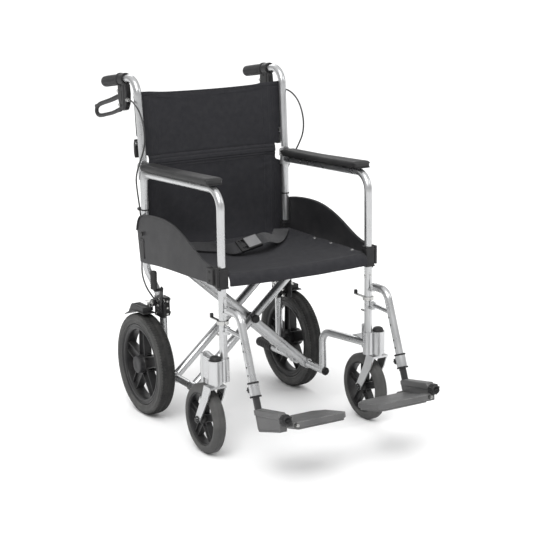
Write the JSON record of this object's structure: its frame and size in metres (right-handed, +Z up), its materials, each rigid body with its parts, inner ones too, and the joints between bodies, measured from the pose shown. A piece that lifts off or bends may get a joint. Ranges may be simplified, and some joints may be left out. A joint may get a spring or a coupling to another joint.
{
  "type": "transport wheelchair",
  "caption": "Folding attendant-pushed wheelchair with small rear wheels, front casters, sling seat and back, swing-away footrests and hand brakes.",
  "frame": {"origin": "on the floor, at the middle of the footprint", "axes": "+Z up; -Y is the way the occupant faces; +X is the occupant's left"},
  "size_m": [0.588, 1.1089, 1.0004],
  "materials": {
    "silver_paint": "satin silver powder coat on aluminium tube",
    "cast_alloy": "brushed silver alloy",
    "zinc_steel": "bright zinc plated steel",
    "black_steel": "satin black paint",
    "black_moulding": "fine textured black moulding",
    "black_panel": "smooth black moulded panel",
    "footplate_moulding": "ribbed black moulding",
    "wheel_moulding": "black moulded wheel",
    "tyre_rubber": "dark grey tyre with tread",
    "grip_rubber": "matt ribbed rubber grip",
    "arm_foam": "self-skinned foam with a fine leather grain",
    "cable_sheath": "black cable sheath",
    "upholstery": "black woven nylon with sewn seams",
    "webbing": "ribbed black webbing"
  },
  "bodies": {
    "side_frame_right": {"front_post_tube_right": "silver_paint", "rear_post_tube_right": "silver_paint", "lower_frame_right": "silver_paint", "frame_fittings_right": "black_moulding", "skirt_guard_right": "black_panel", "arm_pad_right": "arm_foam", "back_hinge_right": "cast_alloy", "brake_bracket_right": "black_steel", "rear_axle_right": "zinc_steel", "brake_cable_right": "cable_sheath", "back_sling_lower": "upholstery"},
    "cross_brace_b": {"brace_b": "silver_paint", "centre_pivot": "zinc_steel", "seat_sling": "upholstery", "lap_belt": "webbing", "belt_buckle": "black_moulding"},
    "cross_brace_a": {"brace_a": "silver_paint"},
    "side_frame_left": {"front_post_tube_left": "silver_paint", "rear_post_tube_left": "silver_paint", "lower_frame_left": "silver_paint", "frame_fittings_left": "black_moulding", "skirt_guard_left": "black_panel", "arm_pad_left": "arm_foam", "back_hinge_left": "cast_alloy", "brake_bracket_left": "black_steel", "rear_axle_left": "zinc_steel", "brake_cable_left": "cable_sheath"},
    "caster_swivel_left": {"caster_fork_left": "cast_alloy"},
    "caster_roller_left": {"caster_wheel_left": "wheel_moulding"},
    "drive_wheel_left": {"rear_wheel_left": "wheel_moulding", "rear_tyre_left": "tyre_rubber"},
    "back_cane_left": {"upper_cane_left": "silver_paint", "push_grip_left": "grip_rubber", "lever_housing_left": "black_moulding"},
    "loop_lever_left": {"brake_lever_left": "black_moulding"},
    "back_release_left": {"release_lever_left": "black_moulding"},
    "legrest_left": {"hanger_left": "silver_paint", "hanger_collar_left": "cast_alloy"},
    "height_tube_left": {"foot_extension_left": "black_steel"},
    "foot_rest_left": {"footplate_left": "footplate_moulding"},
    "legrest_catch_left": {"latch_lever_left": "zinc_steel"},
    "parking_lever_left": {"park_lever_left": "black_steel"},
    "tyre_brake_left": {"brake_shoe_left": "black_moulding"},
    "caster_swivel_right": {"caster_fork_right": "cast_alloy"},
    "caster_roller_right": {"caster_wheel_right": "wheel_moulding"},
    "drive_wheel_right": {"rear_wheel_right": "wheel_moulding", "rear_tyre_right": "tyre_rubber"},
    "back_cane_right": {"upper_cane_right": "silver_paint", "push_grip_right": "grip_rubber", "lever_housing_right": "black_moulding", "back_sling_upper": "upholstery"},
    "loop_lever_right": {"brake_lever_right": "black_moulding"},
    "back_release_right": {"release_lever_right": "black_moulding"},
    "legrest_right": {"hanger_right": "silver_paint", "hanger_collar_right": "cast_alloy"},
    "height_tube_right": {"foot_extension_right": "black_steel"},
    "foot_rest_right": {"footplate_right": "footplate_moulding"},
    "legrest_catch_right": {"latch_lever_right": "zinc_steel"},
    "parking_lever_right": {"park_lever_right": "black_steel"},
    "tyre_brake_right": {"brake_shoe_right": "black_moulding"}
  },
  "joints": [
    {"name": "fold", "type": "hinge", "parent": "side_frame_right", "child": "cross_brace_b", "pos_m": [-0.198, 0.093, 0.124], "axis": [0, -1, 0], "range_deg": [0, 32.4], "deforming": ["seat_sling", "lap_belt", "belt_buckle", "back_sling_lower", "back_sling_upper"]},
    {"name": "scissor_centre", "type": "hinge", "parent": "cross_brace_b", "child": "cross_brace_a", "pos_m": [0, 0.093, 0.29984], "axis": [0, -1, 0], "range_deg": [-65, 0]},
    {"name": "scissor_left_foot", "type": "hinge", "parent": "cross_brace_a", "child": "side_frame_left", "pos_m": [0.198, 0.093, 0.124], "axis": [0, -1, 0], "range_deg": [0, 33]},
    {"name": "caster_turn_left", "type": "hinge", "parent": "side_frame_left", "child": "caster_swivel_left", "pos_m": [0.264, -0.2223, 0.24], "axis": [0, 0, 1], "continuous": true},
    {"name": "caster_roll_left", "type": "hinge", "parent": "caster_swivel_left", "child": "caster_roller_left", "pos_m": [0.264, -0.1578, 0.098], "axis": [1, 0, 0], "continuous": true},
    {"name": "wheel_roll_left", "type": "hinge", "parent": "side_frame_left", "child": "drive_wheel_left", "pos_m": [0.251, 0.236, 0.1523], "axis": [1, 0, 0], "continuous": true},
    {"name": "back_fold_left", "type": "hinge", "parent": "side_frame_left", "child": "back_cane_left", "pos_m": [0.2373, 0.2357, 0.739], "axis": [-1, 0, 0], "range_deg": [0, 90], "deforming": ["brake_cable_left"]},
    {"name": "brake_squeeze_left", "type": "hinge", "parent": "back_cane_left", "child": "loop_lever_left", "pos_m": [0.2395, 0.36, 0.905], "axis": [1, 0, 0], "range_deg": [0, 11], "stiffness_Nm_per_rad": 1.5, "springref_deg": -20.05},
    {"name": "back_latch_left", "type": "hinge", "parent": "back_cane_left", "child": "back_release_left", "pos_m": [0.2373, 0.26, 0.804], "axis": [1, 0, 0], "range_deg": [0, 20], "stiffness_Nm_per_rad": 0.3, "springref_deg": -28.65},
    {"name": "legrest_swing_left", "type": "hinge", "parent": "side_frame_left", "child": "legrest_left", "pos_m": [0.2346, -0.241, 0.39], "axis": [0, 0, 1], "range_deg": [0, 90]},
    {"name": "height_slide_left", "type": "slide", "parent": "legrest_left", "child": "height_tube_left", "axis": [0, -0.3584, -0.9336], "range_m": [0, 0.06]},
    {"name": "plate_flip_left", "type": "hinge", "parent": "height_tube_left", "child": "foot_rest_left", "pos_m": [0.209, -0.412, 0.15], "axis": [0, -0.9744, 0.225], "range_deg": [0, 91]},
    {"name": "catch_press_left", "type": "hinge", "parent": "side_frame_left", "child": "legrest_catch_left", "pos_m": [0.2346, -0.2158, 0.379], "axis": [0, 0, -1], "range_deg": [0, 12], "stiffness_Nm_per_rad": 0.3, "springref_deg": -28.65},
    {"name": "park_pull_left", "type": "hinge", "parent": "side_frame_left", "child": "parking_lever_left", "pos_m": [0.22, 0.191, 0.322], "axis": [1, 0, 0], "range_deg": [0, 40]},
    {"name": "shoe_press_left", "type": "hinge", "parent": "side_frame_left", "child": "tyre_brake_left", "pos_m": [0.225, 0.217, 0.34], "axis": [-1, 0, 0], "range_deg": [0, 2.3]},
    {"name": "caster_turn_right", "type": "hinge", "parent": "side_frame_right", "child": "caster_swivel_right", "pos_m": [-0.264, -0.2223, 0.24], "axis": [0, 0, 1], "continuous": true},
    {"name": "caster_roll_right", "type": "hinge", "parent": "caster_swivel_right", "child": "caster_roller_right", "pos_m": [-0.264, -0.1578, 0.098], "axis": [1, 0, 0], "continuous": true},
    {"name": "wheel_roll_right", "type": "hinge", "parent": "side_frame_right", "child": "drive_wheel_right", "pos_m": [-0.251, 0.236, 0.1523], "axis": [1, 0, 0], "continuous": true},
    {"name": "back_fold_right", "type": "hinge", "parent": "side_frame_right", "child": "back_cane_right", "pos_m": [-0.2373, 0.2357, 0.739], "axis": [-1, 0, 0], "range_deg": [0, 90], "deforming": ["brake_cable_right"]},
    {"name": "brake_squeeze_right", "type": "hinge", "parent": "back_cane_right", "child": "loop_lever_right", "pos_m": [-0.2395, 0.36, 0.905], "axis": [1, 0, 0], "range_deg": [0, 11], "stiffness_Nm_per_rad": 1.5, "springref_deg": -20.05},
    {"name": "back_latch_right", "type": "hinge", "parent": "back_cane_right", "child": "back_release_right", "pos_m": [-0.2373, 0.26, 0.804], "axis": [1, 0, 0], "range_deg": [0, 20], "stiffness_Nm_per_rad": 0.3, "springref_deg": -28.65},
    {"name": "legrest_swing_right", "type": "hinge", "parent": "side_frame_right", "child": "legrest_right", "pos_m": [-0.2346, -0.241, 0.39], "axis": [0, 0, -1], "range_deg": [0, 90]},
    {"name": "height_slide_right", "type": "slide", "parent": "legrest_right", "child": "height_tube_right", "axis": [0, -0.3584, -0.9336], "range_m": [0, 0.06]},
    {"name": "plate_flip_right", "type": "hinge", "parent": "height_tube_right", "child": "foot_rest_right", "pos_m": [-0.209, -0.412, 0.15], "axis": [0, 0.9744, -0.225], "range_deg": [0, 91]},
    {"name": "catch_press_right", "type": "hinge", "parent": "side_frame_right", "child": "legrest_catch_right", "pos_m": [-0.2346, -0.2158, 0.379], "axis": [0, 0, 1], "range_deg": [0, 12], "stiffness_Nm_per_rad": 0.3, "springref_deg": -28.65},
    {"name": "park_pull_right", "type": "hinge", "parent": "side_frame_right", "child": "parking_lever_right", "pos_m": [-0.22, 0.191, 0.322], "axis": [1, 0, 0], "range_deg": [0, 40]},
    {"name": "shoe_press_right", "type": "hinge", "parent": "side_frame_right", "child": "tyre_brake_right", "pos_m": [-0.225, 0.217, 0.34], "axis": [-1, 0, 0], "range_deg": [0, 2.3]}
  ],
  "couplings": [
    {"joint": "scissor_centre", "follows": "fold", "ratio": -2},
    {"joint": "scissor_left_foot", "follows": "fold", "ratio": 1},
    {"joint": "plate_flip_left", "follows": "fold", "ratio": 2.7778},
    {"joint": "shoe_press_left", "follows": "park_pull_left", "ratio": 0.055},
    {"joint": "plate_flip_right", "follows": "fold", "ratio": 2.7778},
    {"joint": "shoe_press_right", "follows": "park_pull_right", "ratio": 0.055},
    {"joint": "back_fold_left", "follows": "back_fold_right", "ratio": 1}
  ]
}
